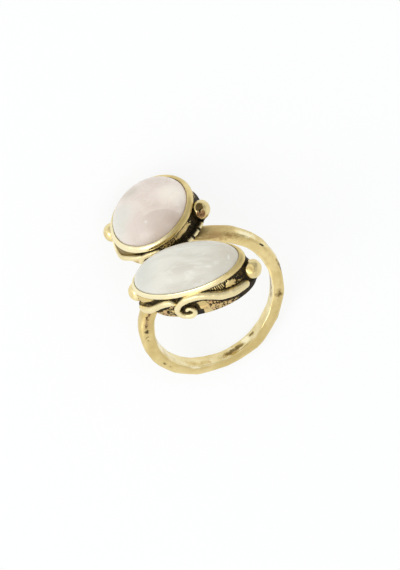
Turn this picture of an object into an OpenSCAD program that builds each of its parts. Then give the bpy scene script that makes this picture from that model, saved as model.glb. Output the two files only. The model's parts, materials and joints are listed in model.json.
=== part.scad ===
// Open gemstone ring in millimetres: a hammered band whose two ends pass each other and carry an
// oval and a round cabochon in bead-ended settings with scrolls of wire. It is drawn as it lies
// on a table by itself, on the back of the round setting and the lowest part of the band, +Z up.

/* [Finger] */
// Inside diameter of the band
finger_d = 17.7; // [17:0.1:18.6]

/* [Band] */
// Width of the band at its lowest point, along the finger
band_w = 1.8; // [1.6:0.1:2.2]
// Thickness of the band at its lowest point
band_t = 1.8; // [1.6:0.1:2]
// How far the hammer marks change the width and thickness, as a share
hammer_depth = 0.05; // [0:0.01:0.08]

/* [Settings] */
// Turn of both settings on the finger, so that one end of each points forward
head_turn = 23; // [18:1:28]
// Length of the oval stone that shows
oval_l = 16.3; // [15.9:0.1:16.7]
// Width of the oval stone that shows
oval_w = 7.8; // [7.5:0.1:8.1]
// Diameter of the round stone that shows
round_d = 11.5; // [11.2:0.1:11.8]
// Height of the oval stone above its rim
oval_dome_h = 3.2; // [2.8:0.1:3.5]
// Height of the round stone above its rim
round_dome_h = 2.8; // [2.4:0.1:3.2]

/* [Ornament] */
// Diameter of the beads at the ends of the settings
bead_d = 2.3; // [2:0.1:2.5]
// Thickness of the scroll wires
wire_d = 0.95; // [0.8:0.05:1.1]

/* [Hidden] */
$fn = 48;

finger_r = finger_d / 2;
stone_gap = 0.06;
rim_w = 0.68;
rim_h = 0.75;
wall_inset = 0.16;

// How the ring comes to rest: it rolls about the finger's line, tips back, and is set down with
// the middle of its box over the origin
rest_roll = -19.36;
rest_tip = -52.25;
rest_shift = [0.455, -5.028, 6.488];

// Each setting's own frame has +X along its beads, +Y backward and Z = 0 at the rim's lower edge
oval_place = [2.13, -5.87, finger_r + 4.5];
round_place = [-0.38, 8.5, finger_r + 3.85];

// A setting: half length and half width of the stone that shows, dome height, width of the rim on
// its long sides, depth of the base, depth of the beads, place of the beads along X, half length
// of the shelf under the beads
oval_setting = [oval_l / 2, oval_w / 2, oval_dome_h, 0.36, 4.6, 2.2, 9.1, 9.8];
round_setting = [round_d / 2, round_d / 2, round_dome_h, rim_w, 3.1, 1.6, 7.3, 8];
function half_l(set) = set[0];
function half_w(set) = set[1];
function dome_h(set) = set[2];
function side_rim(set) = set[3];
function base_depth(set) = set[4];
function bead_depth(set) = set[5];
function bead_x(set) = set[6];
function shelf_l(set) = set[7];

// Columns: angle round the finger, place along it, width, thickness
band_stations = [
    [ 90, -5.0, 3.0, 1.5],
    [112, -3.2, 2.7, 1.7],
    [134, -1.5, 2.3, 1.9],
    [158, -2.0, 2.2, 2.1],
    [182, -2.3, 2.1, 2.0],
    [206, -2.1, 2.0, 1.9],
    [230, -1.5, 1.9, 1.8],
    [255, -0.65, 1.8, 1.8],
    [280,  0.3, 1.8, 1.8],
    [305,  1.4, 1.8, 1.8],
    [330,  2.5, 1.9, 1.8],
    [355,  3.4, 2.0, 1.8],
    [378,  3.9, 2.1, 1.75],
    [400,  4.2, 2.4, 1.6],
    [420,  4.4, 2.8, 1.4],
    [438,  5.5, 2.9, 1.4],
    [456,  7.6, 3.0, 1.5],
];
lowest_size = 1.8;

// Columns: angle round the setting, depth under the rim's lower edge
oval_wave = [[-25, 3.0], [-35, 2.9], [-46, 2.75], [-57, 2.3], [-65, 1.55], [-73, 0.8], [-82, 0.45],
    [-92, 0.6], [-100, 1.25], [-106, 2.4], [-105.5, 3.6], [-100, 4.15], [-93.5, 3.9], [-91, 3.1], [-94, 2.55]];
oval_tail = [[-172, 3.1], [-160, 3.5], [-150, 3.2], [-138, 2.1], [-126, 1.2], [-114, 0.75], [-105, 1.2]];
oval_back = [for (row = oval_wave) [row[0] + 180, row[1]]];
round_wave = [[-8, 2.5], [-24, 2.4], [-40, 2.1], [-56, 1.4], [-70, 0.6], [-84, 0.4],
    [-96, 0.7], [-103, 1.4], [-104, 2.2], [-98.5, 2.75], [-91.5, 2.5], [-90.5, 1.85]];
round_tail = [[-168, 2.4], [-154, 2.2], [-140, 1.7], [-124, 0.95], [-112, 0.6], [-101, 0.9]];
round_back = [[172, 2.2], [160, 2.5], [148, 2.65], [138, 2.2], [128, 1.3], [118, 0.7],
    [108, 0.8], [101.5, 1.5], [101, 2.3], [107, 2.7], [113, 2.3], [112.5, 1.7]];

// A point of a smooth curve between the second and third of four rows
function curve_point(a, b, c, d, t) = 0.5 * (2 * b + (c - a) * t + (2 * a - 5 * b + 4 * c - d) * t * t
    + (3 * b - a - 3 * c + d) * t * t * t);

// A table made finer: steps rows for each of its gaps
function smooth(rows, steps) = let (last = len(rows) - 1) [
    for (i = [0 : last - 1], k = [0 : steps - 1])
        curve_point(rows[max(i - 1, 0)], rows[i], rows[i + 1], rows[min(i + 2, last)], k / steps),
    rows[last],
];

function unit(v) = v / norm(v);

// Points round a section: half width w, half height h, rounder as the power falls to 2
function section(w, h, power, sides) = [
    for (k = [0 : sides - 1]) let (c = cos(360 * (k + 0.5) / sides), s = sin(360 * (k + 0.5) / sides))
        [w * sign(c) * pow(abs(c), 2 / power), h * sign(s) * pow(abs(s), 2 / power)]
];

// A closed skin over a list of rings that have the same number of points
module skin(rings) {
    sides = len(rings[0]);
    last = len(rings) - 1;
    polyhedron(
        points = [for (ring = rings, p = ring) p],
        faces = concat(
            [[for (k = [sides - 1 : -1 : 0]) k]],
            [[for (k = [0 : sides - 1]) last * sides + k]],
            [for (i = [0 : last - 1], k = [0 : sides - 1]) let (n = (k + 1) % sides)
                [i * sides + k, (i + 1) * sides + n, (i + 1) * sides + k]],
            [for (i = [0 : last - 1], k = [0 : sides - 1]) let (n = (k + 1) % sides)
                [i * sides + k, i * sides + n, (i + 1) * sides + n]]
        )
    );
}

// Hammer marks: a share that changes straight from one mark to the next
mark_steps = 2;
function marks(count, seed) = rands(-hammer_depth, hammer_depth, count, seed);
function mark(table, i) = let (k = floor(i / mark_steps), t = i / mark_steps - k)
    1 + table[k] * (1 - t) + table[k + 1] * t;

band_steps = 4;
band_rows = smooth(band_stations, band_steps);
mark_count = ceil(len(band_rows) / mark_steps) + 2;
width_marks = marks(mark_count, 11);
thick_marks = marks(mark_count, 29);
band_power = 3;
band_sides = 12;
inner_spare = 0.35;

module band_bar() {
    skin([
        for (i = [0 : len(band_rows) - 1]) let (
            row = band_rows[i],
            out = [cos(row[0]), 0, sin(row[0])],
            w = row[2] * band_w / lowest_size * mark(width_marks, i) / 2,
            t = row[3] * band_t / lowest_size * mark(thick_marks, i),
            h = (t + inner_spare) / 2
        ) [
            for (q = section(w, h, band_power, band_sides))
                out * (finger_r + t - h + q[1]) + [0, row[1] + q[0], 0]
        ]
    ]);
}

// The finger's way through, in eighths that differ by a hair, as a hammered inside does
way_parts = 8;
way_step = 0.01;
way_l = 60;
module finger_way() {
    for (k = [0 : way_parts - 1])
        rotate([90, 360 / way_parts * k, 0])
            rotate_extrude(angle = 360 / way_parts, $fn = 96)
                translate([0, -way_l / 2]) square([finger_r + (k % 2) * way_step, way_l]);
}

// An oval outline, and one drawn out to a tip at each end with straight sides
outline_sides = 48;
function oval_point(l, w, a) = [l * cos(a), w * sin(a)];
function from_end(a) = asin(abs(sin(a)));
function drawn_point(l, w, tip, a) = let (touch = acos(l / tip), k = from_end(a) / touch) k < 1
    ? [sign(cos(a)) * (tip + (l * l / tip - tip) * k), sign(sin(a)) * w * sin(touch) * k]
    : oval_point(l, w, a);
function oval_ring(l, w, z) = [
    for (k = [0 : outline_sides - 1]) let (p = oval_point(l, w, -360 * k / outline_sides)) [p[0], p[1], z]
];
function drawn_ring(l, w, tip, z) = [
    for (k = [0 : outline_sides - 1]) let (p = drawn_point(l, w, tip, -360 * k / outline_sides)) [p[0], p[1], z]
];

// The body of a setting: base, drawn-out shelf, wall, rim and the stone's seat.
// Columns: how far the wall is passed lengthwise and sideways, height over the base or the shelf
base_rows = [[-0.6, -0.1, 0], [-0.4, 0.05, 0.25]];
shelf_rows = [[0.1, 0.2, -0.35], [0.05, 0.15, 0]];
shelf_under_bead = 0.75;
tip_round = 0.1;
// Columns: share of the rim's width, height
rim_rows = [[1, 0], [1, 0.15], [0.8, 0.45], [0.35, rim_h]];
wall_top = -0.25;
girdle_drop = 0.55;
girdle_h = 0.35;
seat_floor = rim_h - girdle_drop - girdle_h - stone_gap;
function wall_l(set) = half_l(set) + rim_w - wall_inset;
function wall_w(set) = half_w(set) + side_rim(set) - wall_inset;
function dome_rise(set) = dome_h(set) + girdle_drop;
function girdle_l(set) = half_l(set) / sqrt(1 - pow(girdle_drop / dome_rise(set), 2));
function girdle_w(set) = half_w(set) * girdle_l(set) / half_l(set);
module setting_body(set) {
    wl = wall_l(set);
    ww = wall_w(set);
    shelf_z = -bead_depth(set) - shelf_under_bead;
    seat_l = girdle_l(set) + stone_gap;
    seat_w = girdle_w(set) + stone_gap;
    skin(concat(
        [for (row = base_rows) oval_ring(wl + row[0], ww + row[1], row[2] - base_depth(set))],
        [for (row = shelf_rows)
            drawn_ring(wl + row[0], ww + row[1], shelf_l(set), row[2] + shelf_z)],
        [oval_ring(wl, ww, shelf_z + tip_round)],
        [oval_ring(wl, ww, wall_top)],
        [for (row = rim_rows)
            oval_ring(half_l(set) + rim_w * row[0], half_w(set) + side_rim(set) * row[0], row[1])],
        [oval_ring(half_l(set) + stone_gap, half_w(set) + stone_gap, rim_h)],
        [oval_ring(seat_l, seat_w, rim_h - girdle_drop)],
        [oval_ring(seat_l, seat_w, seat_floor)]
    ));
}

// A point on the line of a wire: at an angle round the wall and a depth
wire_stand = 0.25;
function stand_l(set) = wall_l(set) + wire_stand;
function stand_w(set) = wall_w(set) + wire_stand;
function wire_point(set, row) = [stand_l(set) * cos(row[0]), stand_w(set) * sin(row[0]), -row[1]];
function wire_out(set, row) = unit([cos(row[0]) / stand_l(set), sin(row[0]) / stand_w(set), 0]);

wire_steps = 2;
wire_sides = 8;
end_sizes = [0.45, 0.85];
function wire_size(i, last) = let (k = min(i, last - i)) k < len(end_sizes) ? end_sizes[k] : 1;
module scroll(set, table) {
    rows = smooth(table, wire_steps);
    last = len(rows) - 1;
    line = [for (row = rows) wire_point(set, row)];
    skin([
        for (i = [0 : last]) let (
            along = unit(line[min(i + 1, last)] - line[max(i - 1, 0)]),
            out = unit(wire_out(set, rows[i]) - along * (wire_out(set, rows[i]) * along)),
            side = cross(along, out),
            r = wire_d / 2 * wire_size(i, last)
        ) [for (q = section(r, r, 2, wire_sides)) line[i] + side * q[0] + out * q[1]]
    ]);
}

module setting(set, tables) {
    setting_body(set);
    for (side = [-1, 1]) translate([side * bead_x(set), 0, -bead_depth(set)]) sphere(d = bead_d);
    for (table = tables) scroll(set, table);
}

// The round setting's foot reaches the band beneath it
foot_r = 4.6;
foot_h = 1.2;
module round_foot() {
    translate([0, 0, -base_depth(round_setting) - foot_h + 0.1]) cylinder(r = foot_r, h = foot_h);
}

module in_setting(place) {
    translate(place) rotate([0, 0, -head_turn]) children();
}

module at_rest() {
    translate(rest_shift) rotate([rest_tip, 0, 0]) rotate([0, rest_roll, 0]) children();
}

// A cabochon: a dome on a short girdle
dome_rings = 10;
module cabochon(set) {
    gl = girdle_l(set);
    gw = girdle_w(set);
    skin(concat(
        [oval_ring(gl, gw, rim_h - girdle_drop - girdle_h)],
        [for (i = [0 : dome_rings - 1]) let (a = 90 * i / dome_rings)
            oval_ring(gl * cos(a), gw * cos(a), rim_h - girdle_drop + dome_rise(set) * sin(a))]
    ));
}

module ring_metal() {
    color("goldenrod") at_rest() difference() {
        union() {
            band_bar();
            in_setting(oval_place) setting(oval_setting, [oval_wave, oval_tail, oval_back]);
            in_setting(round_place) {
                setting(round_setting, [round_wave, round_tail, round_back]);
                round_foot();
            }
        }
        finger_way();
    }
}

module oval_stone() {
    color("gainsboro") at_rest() in_setting(oval_place) cabochon(oval_setting);
}

module round_stone() {
    color("mistyrose") at_rest() in_setting(round_place) cabochon(round_setting);
}

ring_metal();
oval_stone();
round_stone();
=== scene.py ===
# %% [markdown]
# An open gemstone ring lies on a pale table: a hammered band, two settings with scroll wires and beads,
# and two cloudy stones. The frame brings in its plain solids, which the physics uses. Here each solid
# gets a finer surface and a real finish, so the first step is to load them.

# %% Load the frame
import bmesh
import bpy
import json
import math
from mathutils import Matrix, Vector, kdtree, noise


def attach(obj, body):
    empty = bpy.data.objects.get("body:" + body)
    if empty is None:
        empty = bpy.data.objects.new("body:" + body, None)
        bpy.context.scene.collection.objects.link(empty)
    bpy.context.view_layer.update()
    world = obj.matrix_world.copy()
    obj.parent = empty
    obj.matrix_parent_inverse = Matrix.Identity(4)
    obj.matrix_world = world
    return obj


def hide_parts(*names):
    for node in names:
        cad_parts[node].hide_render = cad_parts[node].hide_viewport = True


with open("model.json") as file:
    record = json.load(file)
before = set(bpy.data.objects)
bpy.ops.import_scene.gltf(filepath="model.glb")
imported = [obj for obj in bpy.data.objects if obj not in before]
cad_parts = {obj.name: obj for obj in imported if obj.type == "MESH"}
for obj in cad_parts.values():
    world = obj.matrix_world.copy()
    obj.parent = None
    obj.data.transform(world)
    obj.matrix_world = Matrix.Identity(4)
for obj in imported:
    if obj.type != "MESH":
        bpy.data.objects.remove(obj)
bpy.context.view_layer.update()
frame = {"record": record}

FINGER_R = frame["record"]["mounts"][0]["dims"]["r_mm"]
print("finger hole radius in mm:", FINGER_R)

# %% [markdown]
# The ring was drawn upright: X runs across the finger, Y along it to the back, Z out through the
# settings. It comes to rest rolled about the finger and tipped back. One matrix does that turn, so
# every piece can be worked out in the ring's own millimetres, where its sizes are easy to read.

# %% From the ring's own millimetres to the table
MM = 0.001
REST_ROLL = -19.36
REST_TIP = -52.25
REST_SHIFT = Vector((0.455, -5.028, 6.488))

turn = Matrix.Rotation(math.radians(REST_TIP), 4, "X") @ Matrix.Rotation(math.radians(REST_ROLL), 4, "Y")
REST = Matrix.Translation(REST_SHIFT) @ turn
UP = turn.inverted() @ Vector((0, 0, 1))


def on_table(p):
    return (REST @ Vector(p)) * MM


print("finger axis on the table:", tuple(round(v, 3) for v in turn @ Vector((0, 1, 0))))

# %% [markdown]
# The two settings are one kind of thing in two sizes, so each is a table of measures that the helpers
# below read. A setting has a frame of its own, turned a little across the band, with the top of its wall
# at height 0, the stone above it and the base below.

# %% The measures of the two settings
HEAD_TURN = 23


def setting_frame(x, y, z):
    return Matrix.Translation((x, y, z)) @ Matrix.Rotation(math.radians(-HEAD_TURN), 4, "Z")


# length and width are the stone's half axes in sight, and dome is its height
# side_rim is the rim's width at the sides, and shelf the half length of the drawn shelf under the beads
# base and bead_down are depths below the top of the wall, and foot is the radius of the foot, if any
# split is the height where the wall becomes the base, and bits_end the lowest grain on the wall
# grain is the size of a grain, and seam says how black the line under the rim is
OVAL = dict(
    name="oval", frame=setting_frame(2.13, -5.87, FINGER_R + 4.5), length=8.15, width=3.9, dome=3.2,
    side_rim=0.36, base=4.6, bead_down=2.2, shelf=9.45, foot=0, split=-1.9,
    bits_end=-9.0, grain=0.27, seam=1.0,
)
ROUND = dict(
    name="round", frame=setting_frame(-0.38, 8.5, FINGER_R + 3.85), length=5.75, width=5.75, dome=2.8,
    side_rim=0.68, base=3.1, bead_down=1.6, shelf=7.35, foot=4.6, split=-1.7,
    bits_end=-0.95, grain=0.19, seam=0.2,
)
for s in (OVAL, ROUND):
    print(s["name"], "stone in sight, in mm:", 2 * s["length"], "x", 2 * s["width"])

# %% [markdown]
# Most of the pieces are skins: rings of points joined into one closed surface. Curves with a bevel
# would be quicker to write, but a skin lets each point be moved on its own, which beaten and cast metal
# needs. A point may not enter the finger's way or sink below the table, so two helpers push it out.

# %% Skins
def skin_faces(rings, sides):
    faces = [[k for k in range(sides)]]
    for i in range(rings - 1):
        for k in range(sides):
            n = (k + 1) % sides
            faces.append([i * sides + k, i * sides + n, (i + 1) * sides + n, (i + 1) * sides + k])
    faces.append([(rings - 1) * sides + k for k in range(sides)])
    return faces


def out_of_finger(p, spare=0.0):
    reach = math.hypot(p[0], p[2])
    if reach >= FINGER_R + spare:
        return p
    grow = (FINGER_R + spare) / max(reach, 0.1)
    return Vector((p[0] * grow, p[1], p[2] * grow))


def above_table(p):
    sunk = -(REST @ Vector(p)).z
    return Vector(p) + UP * sunk if sunk > 0 else Vector(p)


def turn_outwards(mesh):
    shape = bmesh.new()
    shape.from_mesh(mesh)
    bmesh.ops.recalc_face_normals(shape, faces=shape.faces)
    shape.to_mesh(mesh)
    shape.free()


print("a skin of 3 rings of 8 has", len(skin_faces(3, 8)), "faces, two of them its ends")

# %% [markdown]
# A piece is a mesh object that rides on the ring's one body and stands for a solid. A gold piece also
# stores numbers on its points: how dark each point is, with patina and with painted shade, how matt
# (below 0 polished, with a painted sheen), and how pink (below 0 painted olive shade). They do what a
# painted picture would do, without any picture, and the material of the gold reads them later.

# %% Pieces and the numbers on their points
gold_pieces = []


def piece(name, points, faces, node):
    mesh = bpy.data.meshes.new(name)
    mesh.from_pydata([on_table(above_table(p)) for p in points], [], faces)
    turn_outwards(mesh)
    mesh.shade_smooth()
    made = bpy.data.objects.new(name, mesh)
    bpy.context.collection.objects.link(made)
    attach(made, "root")
    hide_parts(node)
    print(name, len(points), "points")
    return made


def gold_piece(name, points, faces, **shades):
    made = piece(name, points, faces, "ring_metal")
    for label, values in shades.items():
        made.data.attributes.new(label, "FLOAT", "POINT").data.foreach_set("value", values)
    gold_pieces.append(made)


# %% [markdown]
# Shapes come from short tables, because a maker thinks in a few places and lets the metal run smoothly
# between them. One helper draws a soft curve through the rows, and another makes a soft step, which
# serves wherever one look gives way to the next.

# %% Smooth tables and soft steps
def curve_row(rows, i, t):
    a, b, c, d = (rows[max(0, min(len(rows) - 1, j))] for j in (i - 1, i, i + 1, i + 2))
    return [
        0.5 * (2 * q + (r - p) * t + (2 * p - 5 * q + 4 * r - s) * t * t + (3 * q - p - 3 * r + s) * t ** 3)
        for p, q, r, s in zip(a, b, c, d)
    ]


def smooth(rows, steps):
    fine = [curve_row(rows, i, k / steps) for i in range(len(rows) - 1) for k in range(steps)]
    return fine + [list(rows[-1])]


def step_up(low, high, x):
    t = max(0.0, min(1.0, (x - low) / (high - low)))
    return t * t * (3 - 2 * t)


print("a soft step at a quarter, a half and three quarters:", [step_up(0, 1, x / 4) for x in (1, 2, 3)])

# %% [markdown]
# The band is a hammered bar. A smith beats it into shallow flats and leaves it wider towards the
# settings. The flats could be sculpted one by one, but a cell pattern lays them at random as blows do:
# each point is pressed in by how near it is to the middle of its cell, which gives soft facets.

# %% The bar and its hammer marks
BAND = [
    # angle, place along the finger, width, thickness
    [90, -5.0, 3.0, 1.5], [112, -3.2, 2.7, 1.7], [134, -1.5, 2.3, 1.9], [158, -2.0, 2.2, 2.1],
    [182, -2.3, 2.1, 2.0], [206, -2.1, 2.0, 1.9], [230, -1.5, 1.9, 1.8], [255, -0.65, 1.8, 1.8],
    [280, 0.3, 1.8, 1.8], [305, 1.4, 1.8, 1.8], [330, 2.5, 1.9, 1.8], [355, 3.4, 2.0, 1.8],
    [378, 3.9, 2.1, 1.75], [400, 4.2, 2.4, 1.6], [420, 4.4, 2.8, 1.4], [438, 5.5, 2.9, 1.4],
    [456, 7.6, 3.0, 1.5],
]
HAMMER_SIZE = 3.3
HAMMER_DEPTH = 0.28
HAMMER_MIDDLE = 0.24
RIPPLE = 0.02


def outward(angle):
    return Vector((math.cos(math.radians(angle)), 0, math.sin(math.radians(angle))))


def hammer(p):
    near = noise.voronoi(p / HAMMER_SIZE)[0][0]
    return HAMMER_DEPTH * (near ** 2 - HAMMER_MIDDLE) + RIPPLE * noise.noise(p * 1.2)


print("the bar runs over", BAND[-1][0] - BAND[0][0], "degrees, so its ends pass each other")

# %% [markdown]
# Years of wear leave marks on a band: pits where the casting was porous and a facet that stayed matt.
# The same table also paints light: dark olive shade along the edges and on the inside, and bright
# facets and edges as painted highlights. They are few and each has its place, so a table is better than
# noise. A row says where a mark is, its half length and half width, and its shade.

# %% Marks of wear and painted light on the band
BAND_MARKS_AND_PAINTED_LIGHT = [
    # angle, along, reach, half length, half width, dark, matt (below 0 painted highlight), pink (below 0
    # olive shade)
    [373.5, 3.03, 10.48, 0.50, 0.17, 0.90, 0.0, 0.0], [324.4, 1.30, 9.80, 0.50, 0.42, 0.56, 0.4, -0.4],
    [324.8, 1.30, 9.80, 1.30, 0.30, 0.52, 0.4, -0.4], [324.4, 1.30, 9.75, 0.30, 1.10, 0.50, 0.4, -0.4],
    [135.0, -2.45, 9.90, 0.60, 0.30, 0.60, 0.2, 0.6], [138.5, -2.60, 10.10, 0.38, 0.24, 0.63, 0.0, 0.5],
    [142.5, -2.70, 9.75, 0.34, 0.22, 0.62, 0.0, 0.5], [146.5, -2.80, 10.05, 0.36, 0.22, 0.64, 0.0, 0.5],
    [151.5, -2.94, 9.98, 0.32, 0.24, 0.69, 0.0, 0.5], [149.0, -2.60, 10.20, 0.25, 0.15, 0.54, 0.0, 0.7],
    [144.5, -2.95, 10.00, 0.22, 0.14, 0.56, 0.0, 0.7], [140.5, -2.30, 9.80, 0.22, 0.14, 0.56, 0.0, 0.7],
    [157.5, -2.80, 10.10, 0.28, 0.18, 0.66, 0.0, 0.5], [162.5, -3.00, 10.00, 0.30, 0.20, 0.66, 0.0, 0.5],
    [155.5, -3.00, 9.80, 0.34, 0.24, 0.66, 0.0, 0.5], [159.5, -3.10, 9.87, 0.34, 0.22, 0.66, 0.0, 0.5],
    [149.0, -2.82, 9.90, 3.10, 0.52, 0.53, 0.3, 0.5], [190.0, -3.30, 9.77, 0.42, 0.32, 0.62, 0.2, 0.6],
    [196.0, -3.20, 9.70, 0.90, 0.30, 0.42, 0.1, 0.5], [254.0, -0.90, 8.90, 0.75, 0.34, 0.34, 0.6, -1.0],
    [259.5, -0.62, 8.90, 0.75, 0.36, 0.34, 0.6, -1.0], [265.5, -0.36, 8.90, 0.75, 0.30, 0.32, 0.6, -1.0],
    [279.5, 0.45, 8.90, 0.55, 0.24, 0.34, 0.6, -1.0], [272.5, 0.10, 8.90, 0.80, 0.60, 0.0, -0.6, 0.0],
    [335.0, 3.15, 8.90, 0.60, 0.34, 0.36, 0.3, -1.0], [330.5, 2.70, 8.90, 0.60, 0.34, 0.36, 0.3, -1.0],
    [326.0, 2.35, 8.90, 0.60, 0.30, 0.34, 0.3, -1.0], [321.0, 2.05, 8.90, 0.60, 0.26, 0.30, 0.3, -0.8],
    [347.5, 2.60, 10.62, 1.50, 0.30, 0.50, 0.3, -0.7], [304.0, 0.75, 10.65, 1.10, 0.22, 0.7, 0.4, -0.4],
    [318.0, 1.30, 10.60, 0.40, 0.18, 0.55, 0.3, 0.2], [358.0, 2.70, 9.90, 0.30, 0.15, 0.52, 0.2, 0.2],
    [219.0, -2.20, 8.92, 1.70, 0.42, 0.14, 0.6, 0.6], [231.0, -1.80, 8.92, 0.80, 0.30, 0.16, 0.6, 0.6],
    [221.0, -2.75, 9.08, 1.10, 0.25, 0.0, -0.9, 0.0], [412.0, 4.20, 10.35, 3.40, 1.40, 0.0, 0.55, 0.1],
    [411.0, 3.20, 10.10, 3.30, 0.60, 0.0, 0.35, 0.3], [398.0, 3.10, 10.10, 1.30, 0.50, 0.06, 0.6, 0.1],
    [390.0, 3.75, 10.50, 1.70, 0.60, 0.0, -1.1, 0.0], [370.0, 3.40, 10.60, 0.90, 0.40, 0.0, -0.5, 0.0],
    [176.0, -2.60, 10.80, 2.50, 0.35, 0.0, -0.6, 0.0],
]
print("marks on the band:", len(BAND_MARKS_AND_PAINTED_LIGHT))

# %% [markdown]
# To read the table at a point, its distance from each mark is measured along and across the mark, so
# that a long mark follows the band. A little noise frays the edge. The inside of a band is polished by
# the finger and painted lighter as a sheen, which needs no table, only the distance from the finger's
# axis.

# %% Reading the wear and painted light at a point
INNER_POLISH_AND_SHEEN = 0.75
POLISH_ENDS = 0.35
POLISH_FULL = 0.05
MARK_FRAY = 0.45


def wear_and_painted_light_at(p):
    dark, pink = 0.0, 0.0
    inside = step_up(FINGER_R + POLISH_ENDS, FINGER_R + POLISH_FULL, math.hypot(p[0], p[2]))
    # the inside is polished and painted lighter as a sheen
    matt = -INNER_POLISH_AND_SHEEN * inside * (0.75 + 0.7 * noise.noise(p * 0.8))
    fray = MARK_FRAY * noise.noise(p * 3.1)
    for angle, along, reach, length, width, d, m, k in BAND_MARKS_AND_PAINTED_LIGHT:
        out = outward(angle)
        off = p - out * reach - Vector((0, along, 0))
        if off.length > 2 * length:
            continue
        way = Vector((-out.z, 0, out.x))
        run = off.dot(way)
        away = math.hypot(run / length, (off - way * run).length / width)
        share = step_up(1.35, 0.55, away + fray)
        # a negative pink paints olive shade, and a negative matt paints a highlight
        pink = max(pink, k * share) if k > 0 else min(pink, k * share)
        dark, matt = max(dark, d * share), matt + m * share
    return dark, matt, pink


print("dark, matt and pink inside the band:", [round(v, 2) for v in wear_and_painted_light_at(outward(300) * FINGER_R)])

# %% [markdown]
# Now the bar can be made. A beaten bar has a squarish section with soft corners, so a circle whose sine
# and cosine are raised to a power is swept along the table. Its inner side starts a little inside the
# finger's way and is pushed out, so that the hole is true, and shallow dents keep it from looking bored.

# %% The band
BAND_STEPS = 34
BAND_SIDES = 56
BAND_POWER = 3.2
BAND_MATT = 0.22
INNER_SPARE = 0.35
DENT_DEPTH = 0.07


def signed_power(x, p):
    return math.copysign(abs(x) ** p, x)


points, dark, matt, pink = [], [], [], []
rows = smooth(BAND, BAND_STEPS)
for angle, along, width, thick in rows:
    out = outward(angle)
    middle = out * (FINGER_R + thick - (thick + INNER_SPARE) / 2) + Vector((0, along, 0))
    for k in range(BAND_SIDES):
        c = math.cos(2 * math.pi * (k + 0.5) / BAND_SIDES)
        s = math.sin(2 * math.pi * (k + 0.5) / BAND_SIDES)
        across = Vector((0, width / 2 * signed_power(c, 2 / BAND_POWER), 0))
        up = out * ((thick + INNER_SPARE) / 2 * signed_power(s, 2 / BAND_POWER))
        p = middle + across + up
        p = p + (across + up).normalized() * hammer(p)
        p = out_of_finger(p, DENT_DEPTH * (0.5 + 0.9 * noise.noise(p * 0.9)))
        d, m, q = wear_and_painted_light_at(p)
        points.append(p)
        dark.append(d)
        matt.append(m + BAND_MATT)
        pink.append(q)
gold_piece("band", points, skin_faces(len(rows), BAND_SIDES), dark=dark, matt=matt, pink=pink)

# %% [markdown]
# Each setting is a cup: a base, a shelf drawn out to a point under its two beads, a wall, and a rim
# folded over the stone. All of them follow an oval, so these helpers give a point on an oval, a point
# on an oval that is drawn out to tips at its ends, and the way straight out from the wall.

# %% Oval outlines
RIM_W = 0.68
WALL_INSET = 0.16


def oval_point(l, w, a):
    return l * math.cos(a), w * math.sin(a)


def drawn_point(l, w, tip, a):
    contact_and_shade = math.acos(l / tip)
    k = math.asin(min(1, abs(math.sin(a)))) / contact_and_shade
    if k >= 1:
        return oval_point(l, w, a)
    x = tip + (l * l / tip - tip) * k
    return math.copysign(x, math.cos(a)), math.copysign(w * math.sin(contact_and_shade) * k, math.sin(a))


def wall_size(s):
    return s["length"] + RIM_W - WALL_INSET, s["width"] + s["side_rim"] - WALL_INSET


def wall_out(s, p):
    wl, ww = wall_size(s)
    return Vector((p[0] / wl ** 2, p[1] / ww ** 2, 0)).normalized()


for s in (OVAL, ROUND):
    print(s["name"], "wall, half axes in mm:", [round(v, 2) for v in wall_size(s)])

# %% [markdown]
# Scroll wires are drawn wire, bent into waves and spirals and soldered on the walls. Each has a table
# of places. They are set down before the walls are made, because black patina gathers where a wire
# touches, and the walls have to know where that is. The oval's back scroll repeats its front one.

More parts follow.
